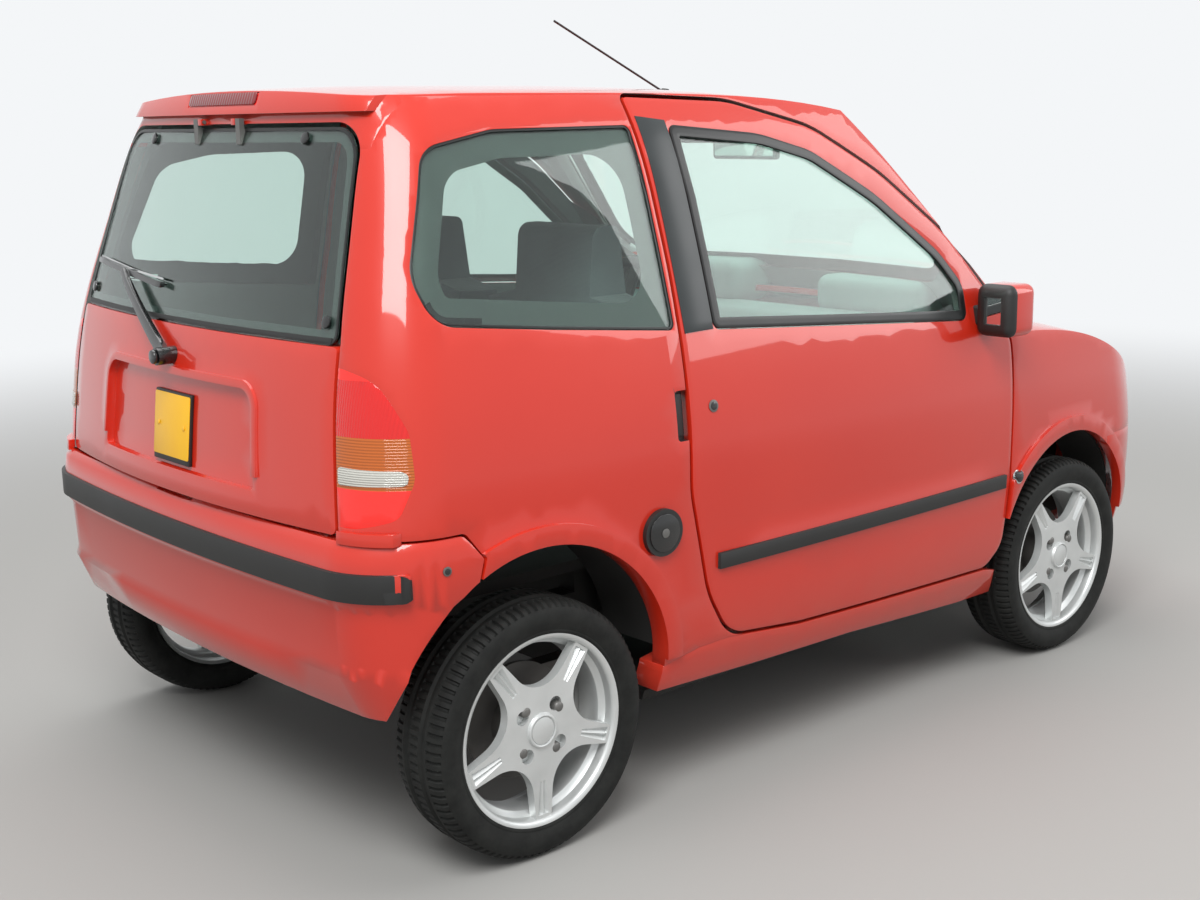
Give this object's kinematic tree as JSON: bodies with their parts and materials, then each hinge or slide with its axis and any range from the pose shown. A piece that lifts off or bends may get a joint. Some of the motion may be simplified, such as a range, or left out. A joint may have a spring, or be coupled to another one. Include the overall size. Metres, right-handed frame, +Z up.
{
  "type": "two-seat microcar",
  "caption": "Small enclosed car with side doors, a lifting tailgate and bonnet, glazed cabin with seats, steered front wheels and freely turning wheels",
  "frame": {"origin": "on the ground, under the middle of the car's box", "axes": "+X forward, +Y to the car's left, +Z up"},
  "size_m": [2.711, 1.56, 1.5596],
  "materials": {
    "body_paint": "solid coral red paint under clear coat",
    "window_glass": "green tinted safety glass",
    "tail_lens": "fluted lens",
    "head_lens": "clear lens over a reflector",
    "black_trim": "grained black plastic",
    "cabin_trim": "grained grey plastic",
    "seat_cloth": "woven cloth over foam",
    "chassis_coat": "satin black coat",
    "cast_block": "as cast",
    "bare_steel": "machined",
    "alloy": "silver lacquer",
    "tyre_rubber": "road rubber",
    "plate_yellow": "blank reflective plate"
  },
  "bodies": {
    "root": {"floor_pan": "chassis_coat", "roof_panel": "body_paint", "sills": "body_paint", "wheel_liners": "black_trim", "bumper_front": "body_paint", "bumper_rear": "body_paint", "quarter_glasses": "window_glass", "tail_lamps": "tail_lens", "head_lamps": "head_lens", "brake_lamp": "tail_lens", "windscreen": "window_glass", "cowl_panel": "black_trim", "engine_block": "cast_block", "front_suspension": "chassis_coat", "rear_axle": "chassis_coat", "dashboard": "cabin_trim", "antenna": "black_trim", "fuel_cap": "black_trim", "side_panel_left": "body_paint", "side_panel_right": "body_paint", "wing_left": "body_paint", "wing_right": "body_paint", "seat_left": "seat_cloth", "seat_right": "seat_cloth"},
    "door_left": {"door_panel_left": "body_paint", "door_glass_left": "window_glass", "mirror_left": "body_paint"},
    "door_right": {"door_panel_right": "body_paint", "door_glass_right": "window_glass", "mirror_right": "body_paint"},
    "tailgate": {"tailgate_panel": "body_paint", "tailgate_glass": "window_glass", "number_plate": "plate_yellow", "gate_hinges": "black_trim", "rear_wiper": "black_trim"},
    "bonnet_lid": {"bonnet": "body_paint"},
    "steering": {"steering_wheel": "black_trim"},
    "steered_hub_left": {"knuckle_left": "bare_steel"},
    "steered_hub_right": {"knuckle_right": "bare_steel"},
    "wheel_front_left": {"tyre_front_left": "tyre_rubber", "rim_front_left": "alloy"},
    "wheel_front_right": {"tyre_front_right": "tyre_rubber", "rim_front_right": "alloy"},
    "wheel_rear_left": {"tyre_rear_left": "tyre_rubber", "rim_rear_left": "alloy"},
    "wheel_rear_right": {"tyre_rear_right": "tyre_rubber", "rim_rear_right": "alloy"}
  },
  "joints": [
    {"name": "door_left_hinge", "type": "hinge", "parent": "root", "child": "door_left", "pos_m": [0.424, 0.682, 0.6], "axis": [0, 0, -1], "range_deg": [0, 65]},
    {"name": "door_right_hinge", "type": "hinge", "parent": "root", "child": "door_right", "pos_m": [0.424, -0.682, 0.6], "axis": [0, 0, 1], "range_deg": [0, 65]},
    {"name": "tailgate_hinge", "type": "hinge", "parent": "root", "child": "tailgate", "pos_m": [-1.185, 0, 1.35], "axis": [0, 1, 0], "range_deg": [0, 78]},
    {"name": "bonnet_hinge", "type": "hinge", "parent": "root", "child": "bonnet_lid", "pos_m": [0.599, 0, 0.868], "axis": [0, -1, 0], "range_deg": [0, 55]},
    {"name": "steer_left", "type": "hinge", "parent": "root", "child": "steered_hub_left", "pos_m": [0.715, 0.56, 0.246], "axis": [0, 0, 1], "range_deg": [-28, 28]},
    {"name": "steer_right", "type": "hinge", "parent": "root", "child": "steered_hub_right", "pos_m": [0.715, -0.56, 0.246], "axis": [0, 0, 1], "range_deg": [-28, 28]},
    {"name": "steering_column", "type": "hinge", "parent": "root", "child": "steering", "pos_m": [0.062, 0.268, 0.815], "axis": [-0.9135, 0, 0.4067], "range_deg": [-392, 392]},
    {"name": "roll_front_left", "type": "hinge", "parent": "steered_hub_left", "child": "wheel_front_left", "pos_m": [0.715, 0.6075, 0.246], "axis": [0, 1, 0], "continuous": true},
    {"name": "roll_front_right", "type": "hinge", "parent": "steered_hub_right", "child": "wheel_front_right", "pos_m": [0.715, -0.6075, 0.246], "axis": [0, 1, 0], "continuous": true},
    {"name": "roll_rear_left", "type": "hinge", "parent": "root", "child": "wheel_rear_left", "pos_m": [-0.965, 0.6075, 0.246], "axis": [0, 1, 0], "continuous": true},
    {"name": "roll_rear_right", "type": "hinge", "parent": "root", "child": "wheel_rear_right", "pos_m": [-0.965, -0.6075, 0.246], "axis": [0, 1, 0], "continuous": true}
  ],
  "couplings": [
    {"joint": "steer_right", "follows": "steer_left", "ratio": 1},
    {"joint": "steering_column", "follows": "steer_left", "ratio": 14}
  ]
}
